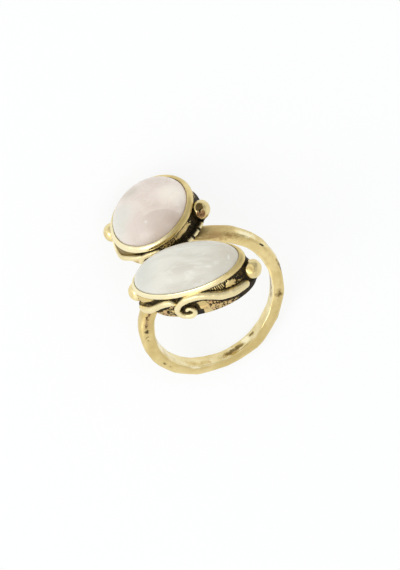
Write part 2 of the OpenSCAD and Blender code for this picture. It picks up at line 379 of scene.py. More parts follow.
# %% The lines of the scroll wires
WIRES = dict(
    # angle round the oval, how far down the wall, the wire's radius, how far it stands off the wall
    oval_wave=[
        [-24, 2.55, 0.46, 0.33], [-34, 2.46, 0.57, 0.33], [-46, 2.27, 0.63, 0.33], [-57, 1.85, 0.64, 0.33],
        [-65, 1.20, 0.60, 0.33], [-73, 0.62, 0.55, 0.33], [-82, 0.36, 0.50, 0.33], [-92, 0.55, 0.48, 0.33],
        [-100, 1.25, 0.45, 0.33], [-106, 2.35, 0.44, 0.33], [-105.5, 3.38, 0.44, 0.33],
        [-100, 3.88, 0.42, 0.33], [-93.8, 3.76, 0.38, 0.33], [-90.8, 3.10, 0.32, 0.33],
        [-92.5, 2.55, 0.28, 0.33], [-96, 2.50, 0.26, 0.33], [-98.3, 2.88, 0.25, 0.33],
    ],
    oval_tail=[
        [-157, 2.45, 0.24, 0.98], [-152, 2.60, 0.38, 0.92], [-142.5, 2.28, 0.44, 0.88],
        [-133.8, 1.97, 0.45, 0.75], [-125.6, 1.45, 0.46, 0.50], [-117, 0.90, 0.47, 0.36],
        [-110, 0.64, 0.46, 0.33], [-105.3, 0.76, 0.38, 0.33], [-104, 1.25, 0.24, 0.33],
    ],
    round_wave=[
        [-6, 2.5, 0.20, 0.56], [-24, 2.4, 0.21, 0.56], [-40, 2.1, 0.21, 0.56], [-56, 1.4, 0.22, 0.50],
        [-70, 0.6, 0.24, 0.44], [-84, 0.4, 0.28, 0.38], [-96, 0.7, 0.36, 0.33], [-103, 1.4, 0.42, 0.30],
        [-104, 2.2, 0.42, 0.30], [-98.5, 2.75, 0.36, 0.30], [-91.5, 2.5, 0.28, 0.30], [-91, 1.9, 0.18, 0.30],
    ],
    round_tail=[
        [-158, 0.30, 0.10, 0.30], [-152, 0.92, 0.19, 0.48], [-146, 1.43, 0.27, 0.66],
        [-139, 1.63, 0.31, 0.76], [-132, 1.45, 0.32, 0.76], [-126, 1.20, 0.33, 0.68],
        [-120, 1.03, 0.35, 0.55], [-111.8, 0.88, 0.37, 0.45], [-106, 0.78, 0.35, 0.38],
        [-100.5, 0.70, 0.29, 0.32], [-95.5, 0.68, 0.19, 0.28], [-92, 0.70, 0.10, 0.25],
    ],
    round_back=[
        [172, 2.2, 0.46, 0.3], [160, 2.5, 0.50, 0.3], [148, 2.65, 0.50, 0.3], [138, 2.2, 0.50, 0.3],
        [128, 1.3, 0.50, 0.3], [118, 0.7, 0.50, 0.3], [108, 0.8, 0.50, 0.3], [101.5, 1.5, 0.50, 0.3],
        [101, 2.3, 0.48, 0.3], [107, 2.7, 0.40, 0.3], [113, 2.3, 0.28, 0.3], [112.5, 1.8, 0.16, 0.3],
    ],
)
WIRES["oval_back"] = [[row[0] + 180] + row[1:] for row in WIRES["oval_wave"]]
OVAL["wires"] = ("oval_wave", "oval_tail", "oval_back")
ROUND["wires"] = ("round_wave", "round_tail", "round_back")
print("rows in the tables:", {name: len(rows) for name, rows in WIRES.items()})

# %% [markdown]
# A table is smoothed into a line of places in the setting's frame, each with the wire's radius there.
# The helper serves twice: coarsely here, to tell the walls where the wires are, and finely later, to
# make the wires themselves. One table for both keeps wall and wire in step.

# %% Places along the wires
PLACES_A_ROW = 4


def wire_line(s, name, steps):
    wl, ww = wall_size(s)
    line = []
    for angle, down, r, stand in smooth(WIRES[name], steps):
        x, y = oval_point(wl + stand, ww + stand, math.radians(angle))
        line.append((Vector((x, y, -down)), r))
    return line


for s in (OVAL, ROUND):
    s["near_wires"] = [place for name in s["wires"] for place in wire_line(s, name, PLACES_A_ROW)]
    print(s["name"], "wires:", len(s["near_wires"]), "places")

# %% [markdown]
# The walls aren't all alike. Under the rim runs a fringe of fine ridges, lower down the metal is
# granular, near the beads it is black, and some places are bare. Two tables give these shares by angle,
# for the wall and for the base below it. The far side repeats the near one.

# %% What covers the walls where
WALL = dict(
    # angle, ridges, grain, bare
    oval=[
        [-180, 0, 0, 0], [-160, 0, 0, 0.1], [-134, 0, 0, 0.3], [-126, 0, 0.1, 0.2], [-118, 0, 0.4, 0],
        [-100, 0, 0.5, 0], [-80, 0.5, 0.2, 0], [-72, 1, 0, 0], [-50, 1, 0, 0], [-40, 0.3, 0.5, 0],
        [-32, 0, 0.55, 0], [-26, 0, 0.2, 0], [-22, 0, 0, 0], [0, 0, 0, 0],
    ],
    round=[
        [-180, 0, 0, 0.3], [-130, 0, 0, 0.45], [-105, 0, 0.1, 0.2], [-75, 0, 0.6, 0], [-50, 0, 0.8, 0.1],
        [-38, 0, 0.5, 0.5], [-28, 0, 0.5, 0.5], [-22, 0, 0.6, 0.1], [-14, 0, 0, 0], [0, 0, 0, 0],
    ],
)
BASE = dict(
    oval=[
        [-180, 0, 0.7, 0.4], [-113, 0, 1, 0.1], [-107, 0, 0.1, 0], [-87, 0, 0, 0], [-83, 0, 0.3, 0.7],
        [-77, 0, 0.5, 0.4], [-71, 0, 0.9, 0], [-54, 0, 0.9, 0.05], [-47, 0, 0.5, 0], [-41, 0, 0.06, 0],
        [0, 0, 0.1, 0],
    ],
    round=[[-180, 0, 0.5, 0.6], [-110, 0, 0.6, 0.4], [-80, 0, 0.2, 0], [-40, 0, 0, 0], [0, 0, 0, 0]],
)


def shares_at(table, angle):
    for low, high in zip(table, table[1:]):
        if angle <= high[0]:
            t = (angle - low[0]) / (high[0] - low[0])
            return [p + (q - p) * t for p, q in zip(low[1:], high[1:])]
    return table[-1][1:]


print("ridges, grain and bare metal on the oval wall at -45 degrees:", shares_at(WALL["oval"], -45))

# %% [markdown]
# The shares say how much of each kind there is, and this helper makes the kinds. A ridge is a wave along
# the wall, a grain is a cell of a random pattern, and both end in a ragged line. It returns how bright
# a point is, how far it stands out, and how warm, because the grains on a base are coppery.

# %% Ridges, grains and bare metal
RIDGE_PITCH = 0.30
RELIEF = 0.13
FRINGE_END = -1.15
SPLIT_BLUR = 0.25
RAGGED = 0.25
SEAM = (-0.45, -0.2)
RIGHT_PART = -60


def cover(s, angle, along, z):
    upper, lower = (shares_at(table[s["name"]], angle) for table in (WALL, BASE))
    split = step_up(s["split"] - SPLIT_BLUR, s["split"] + SPLIT_BLUR, z)
    ridges, grain, bare = (p * (1 - split) + q * split for p, q in zip(lower, upper))
    here = Vector((along, z, s["length"]))
    ragged = RAGGED * noise.noise(here * 2.3)
    ridge = 0.5 + 0.5 * math.cos(2 * math.pi * along / RIDGE_PITCH + 2 * noise.noise(here * 0.8))
    ridge = step_up(0.48, 0.72, ridge) * step_up(FRINGE_END - 0.2, FRINGE_END + 0.1, z + ragged)
    spots = max(0.0, 1 - noise.voronoi(here / s["grain"])[0][0] * 1.1 + 0.3 * noise.noise(here * 4.7))
    seam = step_up(*SEAM, z) * (1 - ridges) * s["seam"]
    if z > s["split"]:
        high_up = step_up(s["bits_end"] - 0.3, s["bits_end"] + 0.2, z + ragged)
        grain = grain * high_up
        bare = bare * high_up if angle > RIGHT_PART else bare
    bright = (ridges * ridge + grain * (0.08 + 0.92 * step_up(0.26, 0.60, spots)) + bare) * (1 - seam)
    lift = RELIEF * (ridges * ridge + grain * spots + bare * 0.5)
    return min(1.0, bright), lift, grain * (1 - split * 0.5)


print("bright, lift and warm on the oval's base:", [round(v, 2) for v in cover(OVAL, -65, 5, -3)])

# %% [markdown]
# A small leaf of gold stands on the oval wall beside the fringe. It could be a piece of its own, but a
# raised patch with a ragged edge and a black line round it grows out of the wall as a cast one does. The
# helper returns two shares: how much of a point is leaf, and the same for the leaf with its black line.

# %% The leaf
LEAF_ANGLE = -42.6
LEAF_DOWN = 0.90
LEAF_SIZE = (0.80, 0.56)
LEAF_HEIGHT = 0.26


def leaf_at(along, z, leaf_along):
    ragged = 0.6 * noise.noise(Vector((along * 3.1, z * 3.1, 3)))
    away = math.hypot((along - leaf_along) / LEAF_SIZE[0], (z + LEAF_DOWN) / LEAF_SIZE[1]) + ragged
    return step_up(1.1, 0.8, away), step_up(1.6, 1.15, away)


print("the leaf stands", LEAF_HEIGHT, "mm out, and the ridges", RELIEF)

# %% [markdown]
# At their left ends the walls lean out below the rims. On the oval this is a small bare facet with
# three corners over a groove darkened as painted shadow, and on the round setting it is a soft hollow
# painted olive as shade. A row says at which angles it starts, is deepest and ends, how deep it is, how
# far it leans, and how bare it is.

# %% The leaning corners
CORNERS = dict(
    # three angles, depth, lean at the top, further lean at the foot, how bare
    oval=((-160, -147, -120), 1.02, 0.18, 0.36, 1.0),
    round=((-176, -140, -98), 1.75, 0.12, 0.45, 0.80),
)


def corner_at(s, angle, z):
    (left, tip, right), foot, top, more, bare = CORNERS[s["name"]]
    depth = max(0.0, min((angle - left) / (tip - left), (angle - right) / (tip - right)))
    inside = step_up(-foot * depth - 0.12, -foot * depth + 0.02, z) * step_up(0, 0.1, depth)
    spread = 1.0 if s["name"] == "oval" else step_up(0, 0.8, depth)
    return inside, (top + more * min(1.0, -z / foot)) * inside * spread, bare


for name, corner in CORNERS.items():
    print(name, "corner is deepest at", corner[0][1], "degrees and goes", corner[1], "mm down")

# %% [markdown]
# Each setting's body is one closed skin. Its profile is a short list of ovals from the base up, some of
# them drawn out to tips for the shelf, and it is cut into rings fine enough to carry the relief. It could
# be joined from a base, a shelf and a wall, but one skin leaves no seams between them. The last number
# of a profile row says how much of the relief that height takes.

# %% The profile of a setting
def body_rows(s):
    wl, ww = wall_size(s)
    shelf_z = -s["bead_down"] - 0.75
    rows = []
    if s["foot"]:
        rows += [(0.5, 0.5, 0, -s["base"] - 1.1, 0), (s["foot"], s["foot"], 0, -s["base"] - 1.1, 0)]
        rows += [(s["foot"], s["foot"], 0, -s["base"], 0)]
    else:
        rows += [(0.5, 0.5, 0, -s["base"], 0)]
    rows += [(wl - 0.6, ww - 0.1, 0, -s["base"], 0), (wl - 0.4, ww + 0.05, 0, -s["base"] + 0.25, 0.6)]
    rows += [(wl + 0.1, ww + 0.2, s["shelf"], shelf_z - 0.35, 0.6)]
    rows += [(wl + 0.12, ww + 0.22, s["shelf"], shelf_z - 0.18, 0)]
    rows += [(wl + 0.05, ww + 0.15, s["shelf"] - 0.1, shelf_z, 0), (wl, ww, 0, shelf_z + 0.1, 1)]
    rows += [(wl, ww, 0, -0.25, 1), (wl + 0.05, ww + 0.05, 0, -0.05, 0)]
    rows += [(wl - 0.3, ww - 0.3, 0, 0.3, 0)]
    return rows


print("rows in the profiles:", len(body_rows(OVAL)), "and", len(body_rows(ROUND)))

# %% [markdown]
# The profile is cut into rings of nearly even height, each of them a place between two of its rows. A
# ridge has to keep its width all round, so the way along the oval is measured once, and every ring
# uses it.

# %% Rings from the profile
SIDES = 560
RING_PITCH = 0.085


def finer(rows, pitch):
    out = []
    for low, high in zip(rows, rows[1:]):
        parts = max(1, round(math.dist((low[0], low[3]), (high[0], high[3])) / pitch))
        out += [(k / parts, low, high) for k in range(parts)]
    return out


def ring_point(row, a):
    l, w, tip, z = row[:4]
    x, y = drawn_point(l, w, tip, a) if tip else oval_point(l, w, a)
    return Vector((x, y, z))


def arc_lengths(s):
    wl, ww = wall_size(s)
    outline = [Vector(oval_point(wl, ww, 2 * math.pi * k / SIDES)) for k in range(SIDES)]
    arcs = [0.0]
    for k in range(1, SIDES):
        arcs.append(arcs[-1] + (outline[k] - outline[k - 1]).length)
    return arcs


for s in (OVAL, ROUND):
    print(s["name"], "setting:", len(finer(body_rows(s), RING_PITCH)), "rings of", SIDES)

# %% [markdown]
# The look of a wall point is put together from what covers it: ridges or grains first, then the leaning
# corner on the near side, then the leaf on the oval. The tables are written for the near side, so a
# point on the far side looks up the angle that matches it, and the far ends of the oval stay black.

# %% The look of a point on the wall
CORNER_WARM = 0.5
FAR_LEFT_END = (170, 150)
FAR_RIGHT_END = (0, 40)


def table_angle(s, k):
    angle = 360 * k / SIDES - 360
    if k < SIDES / 2:
        return angle + 180 if s["name"] == "oval" else -360 * k / SIDES
    return angle


def wall_look(s, k, arcs, z):
    oval, angle = s["name"] == "oval", table_angle(s, k)
    bright, lift, warmth_and_painted_light = cover(s, angle, arcs[k], z)
    facet, lean = 0.0, 0.0
    if k > SIDES / 2 and z < 0:
        facet, lean, bare = corner_at(s, angle, z)
        bright = bright * (1 - facet) + bare * facet
        # on the round setting the corner gets a negative pink: painted olive shade under the rim
        warmth_and_painted_light = max(warmth_and_painted_light, facet * CORNER_WARM) if oval else warmth_and_painted_light - facet
    if oval:
        leaf, line = leaf_at(arcs[k], z, arcs[round(SIDES * (1 + LEAF_ANGLE / 360))])
        bright = max(bright * (1 - line), leaf)
        lift = lift * (1 - leaf) + LEAF_HEIGHT * leaf
        if k < SIDES / 2:
            turned = 360 * k / SIDES
            bright = bright * step_up(*FAR_LEFT_END, turned) * step_up(*FAR_RIGHT_END, turned)
    return bright, lift, warmth_and_painted_light, facet, lean


fringe = wall_look(OVAL, 467, arc_lengths(OVAL), -0.8)
print("in the oval's fringe, bright, lift, warm, facet and lean:", [round(v, 2) for v in fringe])

# %% [markdown]
# A wire changes the wall beside it. Patina fills the corner where they touch. On the oval's near side,
# painted shade darkens a wider band under the wire, and painted shadow makes a deep groove behind the
# left one dark and olive. Where a wire stands off the wall, solder fills the gap below it, so there the
# wall itself is drawn out to the wire.

# %% What the wires do to the wall
GROOVE_SHADE = 0.55
UNDER_WIRE_SHADE = 0.85


def beside_wire(s, p, q, r, away):
    drop = q.z - p.z
    gap = max(0.0, (q - p).dot(wall_out(s, p)) - 0.6 * r)
    solder = gap * step_up(r + 0.45, 0.3 * r, drop) * step_up(-0.15, 0.05, drop)
    solder = solder * step_up(1.6, 1.1, away) * step_up(0.05, 0.15, gap)
    return step_up(0.34, 0.10, away - r), drop, solder


def shade_near_oval(contact_and_shade, warmth_and_painted_light, facet, angle, drop, r, away):
    # painted shade on the band under the wire
    if drop > 0.5 * r:
        contact_and_shade = max(contact_and_shade, UNDER_WIRE_SHADE * step_up(1.20, 0.85, away - r))
    # painted shadow in the groove behind the left wire, dark and olive
    groove = step_up(0.5, 0.3, drop) * step_up(-112, -120, angle)
    contact_and_shade = max(contact_and_shade, GROOVE_SHADE * (1 - facet) * groove)
    return contact_and_shade, warmth_and_painted_light * (1 - groove) - (1 - facet) * groove


def wire_finder(s):
    tree = kdtree.KDTree(len(s["near_wires"]))
    for i, (q, r) in enumerate(s["near_wires"]):
        tree.insert(q, i)
    tree.balance()
    return tree


nearest = wire_finder(OVAL).find((0, -4, -2))[2]
print("from the middle of the oval's front wall to the nearest wire, in mm:", round(nearest, 2))

# %% [markdown]
# With these helpers the bodies are made. The wall and base of a real setting are cast with their
# pattern. A bump map would only pretend it, so the points themselves are moved out, and what stays low
# stays black. The tree of wire places finds the nearest wire fast, as a body has many thousand points.

# %% The bodies of the settings
BODY_MATT = 0.25
UNDERSIDE_DARK = 0.3


def setting_body(s):
    points, dark, pink = [], [], []
    arcs, tree = arc_lengths(s), wire_finder(s)
    rows = finer(body_rows(s), RING_PITCH)
    for t, low, high in rows:
        amount = low[4] * (1 - t) + high[4] * t if low[4] and high[4] else 0
        for k in range(SIDES):
            a = 2 * math.pi * k / SIDES
            p = ring_point(low, a).lerp(ring_point(high, a), t)
            bright, lift, warmth_and_painted_light, facet, lean = wall_look(s, k, arcs, p.z)
            q, i, away = tree.find(p)
            r = s["near_wires"][i][1]
            contact_and_shade, drop, solder = beside_wire(s, p, q, r, away)
            if s["name"] == "oval" and k > SIDES / 2:
                contact_and_shade, warmth_and_painted_light = shade_near_oval(contact_and_shade, warmth_and_painted_light, facet, table_angle(s, k), drop, r, away)
            lift = lift * amount * (1 - step_up(*SEAM, p.z))
            p = p + wall_out(s, p) * (lift + max(lean * amount, solder))
            points.append(out_of_finger(s["frame"] @ p))
            dark.append(max(1 - bright, contact_and_shade) if p.z > -s["base"] + 0.05 else UNDERSIDE_DARK)
            pink.append(warmth_and_painted_light * (0.55 + 0.9 * noise.noise(p * 1.9)) if warmth_and_painted_light > 0 else warmth_and_painted_light)
    matt = [BODY_MATT] * len(points)
    gold_piece(s["name"] + "_setting", points, skin_faces(len(rows), SIDES), dark=dark, matt=matt, pink=pink)


for s in (OVAL, ROUND):
    setting_body(s)

# %% [markdown]
# The rim is the strip of metal that a jeweller pushes over the stone's edge. It is a smooth rounded ring
# with a soft outer side. A bevelled curve would give it one even section, so it is swept in code, where
# it can be a little uneven as hand work is. A painted shadow line runs along the stone, and the rim is
# dark underneath, except over the oval's bare corner. Its lower left side is painted lighter as a highlight.

# %% The rims
RIM_PROFILE = [
    # share of the rim's width, height
    [0.98, -0.12], [1.04, 0.0], [1.05, 0.12], [1.02, 0.26], [0.93, 0.42], [0.80, 0.57], [0.62, 0.70],
    [0.42, 0.775], [0.24, 0.78], [0.12, 0.735], [0.05, 0.65], [0.03, 0.5], [0.1, 0.2], [0.6, -0.05],
]
RIM_STEPS = 2
RIM_SIDES = 320
RIM_UNEVEN = 0.07
RIM_DIP = 0.05
STONE_SHADOW_LINE = 0.85
CLEAN_UNDER = (-160, -125)
HIGHLIGHT_SIDE = -2.1


def rim(s):
    profile = smooth(RIM_PROFILE + RIM_PROFILE[:1], RIM_STEPS)[:-1]
    points, dark, matt = [], [], []
    for k in range(RIM_SIDES):
        a = 2 * math.pi * k / RIM_SIDES
        place = Vector((math.cos(a) * s["length"], math.sin(a) * s["width"], s["length"]))
        wave = 1 + RIM_UNEVEN * noise.noise(place * 0.45)
        dip = RIM_DIP * noise.noise(place * 0.7 + Vector((5, 0, 0)))
        clean = s["name"] == "oval" and CLEAN_UNDER[0] < 360 * k / RIM_SIDES - 360 < CLEAN_UNDER[1]
        for across, z in profile:
            wide = (RIM_W * across * wave, s["side_rim"] * across * wave)
            x, y = oval_point(s["length"] + wide[0], s["width"] + wide[1], a)
            points.append(s["frame"] @ Vector((x, y, z + dip * step_up(0, 0.5, z))))
            under = float(z < 0)
            if across > 0.6:
                under = step_up(0.15, -0.02, z + 0.06 * noise.noise(place * 3.0))
            # a painted shadow line along the stone, and a dark underside
            dark.append(max(STONE_SHADOW_LINE * step_up(0.17, 0.07, across), 0.0 if clean else under))
            # the lower left side is painted lighter as a highlight
            matt.append(0.06 - 0.86 * step_up(0.0, 0.8, math.cos(a - HIGHLIGHT_SIDE)))
    n = len(profile)
    faces = [
        [i * n + k, i * n + (k + 1) % n, (i + 1) % RIM_SIDES * n + (k + 1) % n, (i + 1) % RIM_SIDES * n + k]
        for i in range(RIM_SIDES) for k in range(n)
    ]
    gold_piece(s["name"] + "_rim", points, faces, dark=dark, matt=matt)


for s in (OVAL, ROUND):
    rim(s)

# %% [markdown]
# A scroll is drawn wire, so a section sweeps along the smooth line, thins at its ends, and is flattened
# a little where it was filed. The thin wire on the round setting is worn: its right half is uneven and
# has black places, which noise gives.

# %% The scroll wires
WIRE_SIDES = 20
WIRE_STEPS = 10
WIRE_END = 5
WIRE_POWER = 2.8
# below 0: the wires are polished and painted lighter as a sheen
WIRE_POLISH_AND_SHEEN = -0.5
UNEVEN = 0.06
WORN_UNEVEN = 0.7


def scroll(s, name):
    line = wire_line(s, name, WIRE_STEPS)
    last = len(line) - 1
    worn_wire = name == "round_wave"
    points, dark = [], []
    for i, (q, r) in enumerate(line):
        along = (line[min(i + 1, last)][0] - line[max(i - 1, 0)][0]).normalized()
        out = wall_out(s, q)
        out = (out - along * out.dot(along)).normalized()
        side = along.cross(out)
        ragged = step_up(1.0, 2.5, q.x) if worn_wire else 1.0
        uneven = (WORN_UNEVEN if worn_wire else UNEVEN) * ragged * noise.noise(q * 2.7)
        r = r * math.sqrt(min(1.0, (min(i, last - i) + 0.3) / WIRE_END)) * (1 + uneven)
        worn = step_up(0.0, 0.25, noise.noise(q * 1.7)) * ragged if worn_wire else 0.0
        for k in range(WIRE_SIDES):
            c = signed_power(math.cos(2 * math.pi * k / WIRE_SIDES), 2 / WIRE_POWER)
            v = signed_power(math.sin(2 * math.pi * k / WIRE_SIDES), 2 / WIRE_POWER)
            p = q + side * (r * c) + out * (r * v)
            p = p + (side * c + out * v) * (0.05 * noise.noise(p * 1.3))
            points.append(s["frame"] @ p)
            dark.append(max(worn, step_up(-0.8, -1.0, v)))
    gold_piece(name, points, skin_faces(len(line), WIRE_SIDES), dark=dark, matt=[WIRE_POLISH_AND_SHEEN] * len(points))


for s in (OVAL, ROUND):
    for name in s["wires"]:
        scroll(s, name)

# %% [markdown]
# A bead sits at each end of both settings. A cast bead is never quite round: it is a little longer than
# wide, and a file has left a flat on it here and there. Cutting a sphere with a plane would leave a
# sharp edge, so a flat is made by drawing the points beyond its plane in, and slow noise dents the rest.

# %% Places, flats and painted reflections of the beads
BEADS = dict(
    oval_right=(9.05, -0.42, -1.85), oval_left=(-9.40, 0.45, -2.10),
    round_right=(7.15, -0.10, -1.15), round_left=(-7.25, -0.1, -1.60),
)
FLATS_AND_PAINTED_REFLECTIONS = dict(
    # the way it faces in the setting's frame, cosine of its half angle, how dark, how pink, which on the
    # right beads paint reflections
    oval_right=[((0.20, -0.59, 0.76), 0.87, 0.30, 0.0), ((0.1, -0.98, 0.1), 0.93, 0.0, 0.0)],
    oval_left=[((-0.3, -0.70, 0.60), 0.92, 0.1, 0.0)],
    round_right=[
        ((0.27, -0.33, 0.90), 0.86, 0.50, -1.2), ((0.30, -0.91, 0.30), 0.84, 0.54, 1.5),
        ((0.26, -0.70, 0.66), 0.950, 1.00, -1.0),
    ],
    round_left=[((-0.5, -0.6, 0.6), 0.93, 0.1, 0.2)],
)
print("flats on the beads:", {name: len(flats) for name, flats in FLATS_AND_PAINTED_REFLECTIONS.items()})

# %% [markdown]
# The ball itself is rings of points from pole to pole. Its underside is darkened as painted shade, the
# side towards the setting is darker too, and the rest is polished.

# %% The beads
BEAD_R = 1.23
BEAD_STRETCH = (1.0, 1.13, 1.06)
BEAD_RINGS = 48
BEAD_SIDES = 72
BEAD_DENT = 0.03
FLAT_KEEP, FLAT_CUT = 0.15, 0.85


def bead(s, label):
    name = s["name"] + "_" + label
    centre = Vector(BEADS[name])
    flats = [(Vector(way).normalized(), *rest) for way, *rest in FLATS_AND_PAINTED_REFLECTIONS[name]]
    points, dark, matt, pink = [], [], [], []
    for i in range(1, BEAD_RINGS):
        lat = math.pi * (i / BEAD_RINGS - 0.5)
        for k in range(BEAD_SIDES):
            lon = 2 * math.pi * k / BEAD_SIDES
            way = Vector((math.cos(lat) * math.cos(lon), math.cos(lat) * math.sin(lon), math.sin(lat)))
            r = BEAD_R * (1 + BEAD_DENT * noise.noise(way * 2.2 + centre))
            inward = -way.x * math.copysign(1, centre.x)
            # the underside is darkened as painted shade, and the side towards the setting is darker
            shade, warmth_and_painted_light = max(step_up(-0.4, -0.85, way.z) * 0.8, step_up(0.62, 0.85, inward)), 0.0
            for facing, cut, tarnish_and_reflection, tint_and_painted_light in flats:
                if way.dot(facing) > cut:
                    r = r * (FLAT_KEEP + FLAT_CUT * cut / way.dot(facing))
                    share = step_up(0, 0.05, way.dot(facing) - cut + 0.03 * noise.noise(way * 5))
                    # a flat's dark and pink paint the reflection seen in it
                    shade, warmth_and_painted_light = max(shade, tarnish_and_reflection * share), warmth_and_painted_light + tint_and_painted_light * share
            p = centre + Vector(c * r * stretch for c, stretch in zip(way, BEAD_STRETCH))
            points.append(s["frame"] @ p)
            dark.append(shade)
            matt.append(shade - 0.2)
            pink.append(warmth_and_painted_light)
    faces = skin_faces(BEAD_RINGS - 1, BEAD_SIDES)
    gold_piece(f"{s['name']}_bead_{label}", points, faces, dark=dark, matt=matt, pink=pink)


for s in (OVAL, ROUND):
    bead(s, "right")
    bead(s, "left")

# %% [markdown]
# The stones are cabochons, ground to a smooth dome with no facets. A fine dome, the cap of a ball that
# is stretched to the oval, replaces the plain one. Each point keeps its place in the stone's own frame,
# because the clouds inside the stone are placed there.

# %% The stones
RIM_H = 0.75
GIRDLE_DROP = 0.55
GIRDLE_H = 0.35
DOME_RINGS = 40
DOME_SIDES = 160
TOP_HOLE = 0.002


def cabochon(s):
    rise = s["dome"] + GIRDLE_DROP
    grow = 1 / math.sqrt(1 - (GIRDLE_DROP / rise) ** 2)
    spring = RIM_H - GIRDLE_DROP
    rings = [(1.0, spring - GIRDLE_H)]
    for i in range(DOME_RINGS):
        a = math.pi / 2 * i / DOME_RINGS
        rings.append((math.cos(a), spring + rise * math.sin(a)))
    rings.append((TOP_HOLE, spring + rise))
    local = []
    for share, z in rings:
        for k in range(DOME_SIDES):
            a = 2 * math.pi * k / DOME_SIDES
            x, y = oval_point(s["length"] * grow * share, s["width"] * grow * share, a)
            local.append(Vector((x, y, z)))
    faces = skin_faces(len(rings), DOME_SIDES)
    dome = piece(s["name"] + "_cabochon", [s["frame"] @ p for p in local], faces, s["name"] + "_stone")
    places = dome.data.attributes.new("local", "FLOAT_VECTOR", "POINT")
    places.data.foreach_set("vector", [c for p in local for c in p])
    return dome


oval_dome = cabochon(OVAL)
round_dome = cabochon(ROUND)

# %% [markdown]
# Materials are small sums on values that change over the surface. Two helpers do the node work: one
# links or sets a socket, and one makes any node from its type, its settings and its values. What it
# returns is a value, a socket that knows its tree, so that it can be used in an expression.

# %% Nodes from one function
def put(tree, target, value):
    if isinstance(value, Value):
        tree.links.new(value.socket, target)
    else:
        target.default_value = value


def make(tree, kind, settings=None, values=None, output=0):
    made = tree.nodes.new(kind)
    for name, value in (settings or {}).items():
        setattr(made, name, value)
    for name, value in (values or {}).items():
        put(tree, made.inputs[name], value)
    return Value(tree, made.outputs[output])


kinds = [name for name in dir(bpy.types) if name.startswith("ShaderNode")]
print("types of shader node to choose from:", len(kinds))

# %% [markdown]
# A value takes part in plain sums: adding, taking away or multiplying adds a Math node. The reflected
# forms let a plain number stand first, as in 1 - mask. A Math node turns a colour grey, so colours are
# mixed by a helper of their own.

# %% Expressions on sockets
class Value:
    def __init__(self, tree, socket):
        self.tree = tree
        self.socket = socket

    def _math(self, operation, *values):
        return make(self.tree, "ShaderNodeMath", {"operation": operation}, dict(enumerate(values)))

    def __add__(self, other):
        return self._math("ADD", self, other)

    def __radd__(self, other):
        return self._math("ADD", other, self)

    def __sub__(self, other):
        return self._math("SUBTRACT", self, other)

    def __rsub__(self, other):
        return self._math("SUBTRACT", other, self)

    def __mul__(self, other):
        return self._math("MULTIPLY", self, other)

    def __rmul__(self, other):
        return self._math("MULTIPLY", other, self)

    def maximum(self, other):
        return self._math("MAXIMUM", self, other)


print("sums on values:", [name for name in vars(Value) if name[2:5] in ("add", "sub", "mul")])

# %% [markdown]
# A few nodes come back again and again: a soft step between two levels, a mix of two colours, a noise
# cloud, and a number or place stored on the points. Each has a helper with the values that matter.

# %% The nodes that come back
def between(tree, value, low, high, to_low=0.0, to_high=1.0):
    return make(
        tree, "ShaderNodeMapRange", {"interpolation_type": "SMOOTHSTEP"},
        {"Value": value, "From Min": low, "From Max": high, "To Min": to_low, "To Max": to_high},
    )


def mix(tree, amount, a, b):
    return make(tree, "ShaderNodeMix", {"data_type": "RGBA"}, {0: amount, 6: a, 7: b}, 2)


def cloud(tree, where, scale, detail=3.0, distortion=0.0):
    return make(
        tree, "ShaderNodeTexNoise", None,
        {"Vector": where, "Scale": scale, "Detail": detail, "Distortion": distortion},
    )


def attribute(tree, name, output):
    return make(tree, "ShaderNodeAttribute", {"attribute_name": name}, None, output)


print("helpers for nodes:", [helper.__name__ for helper in (between, mix, cloud, attribute)])

# %% [markdown]
# A new material starts with one shader, whose sockets take all that follows. Colours are written as a
# screen shows them, from 0 to 255, because that is how they are read off a picture, and are turned
# into the linear numbers that light adds up in.

# %% Materials and colours
def new_material(name):
    material = bpy.data.materials.new(name)
    material.use_nodes = True
    tree = material.node_tree
    print("material", name)
    return material, tree, tree.nodes["Principled BSDF"]


def colour(red, green, blue):
    def linear(c):
        c = c / 255
        return c / 12.92 if c <= 0.04045 else ((c + 0.055) / 1.055) ** 2.4
    return (linear(red), linear(green), linear(blue), 1.0)


print("middle grey in linear numbers:", [round(c, 3) for c in colour(128, 128, 128)])

# %% [markdown]
# Antique gold is a pale yellow metal with a satin polish. Black patina was brushed over it and rubbed
# off the high places, so what is left sits in the pits, beside the wires and along the seams. The same
# dark also paints shade under the wires and rims and along the stones. The stored numbers say where,
# and noise at three sizes breaks the edges up and gives the gold its bloom.

# %% The colours of antique gold
def gold_colour(tree, matt, pink, slow, fine, grit):
    gold = mix(tree, between(tree, slow, 0.35, 0.65), colour(236, 216, 158), colour(214, 192, 130))
    gold = mix(tree, between(tree, fine, 0.45, 0.8) * 0.25, gold, colour(198, 170, 102))
    speckle = between(tree, fine * 0.4 + grit * 0.6, 0.44, 0.58)
    gold = mix(tree, matt * (0.25 + speckle * 0.75), gold, colour(205, 180, 126))
    # a negative matt paints a pale sheen
    gold = mix(tree, matt * -1.0, gold, colour(253, 243, 204))
    gold = mix(tree, pink * 0.75, gold, colour(206, 160, 118))
    # a negative pink paints olive shade
    return mix(tree, pink * -0.85, gold, colour(112, 92, 54))


print("palest gold in linear numbers:", [round(c, 3) for c in colour(253, 243, 204)])

# %% [markdown]
# The material puts patina and painted shade over that colour, as one dark layer. That layer isn't metal,
# so it also takes away some of the metallic look and makes the surface rougher. The band gets a little
# more relief in its bump than its mesh holds: the small dimples inside each hammer mark.

# %% Antique gold
SLOW, FINE, GRIT = (230.0, 3.0), (1700.0, 4.0), (5600.0, 2.0)
DIMPLES = 400.0
BUMP_STRENGTH = 0.35
BUMP_HEIGHT = 0.00006


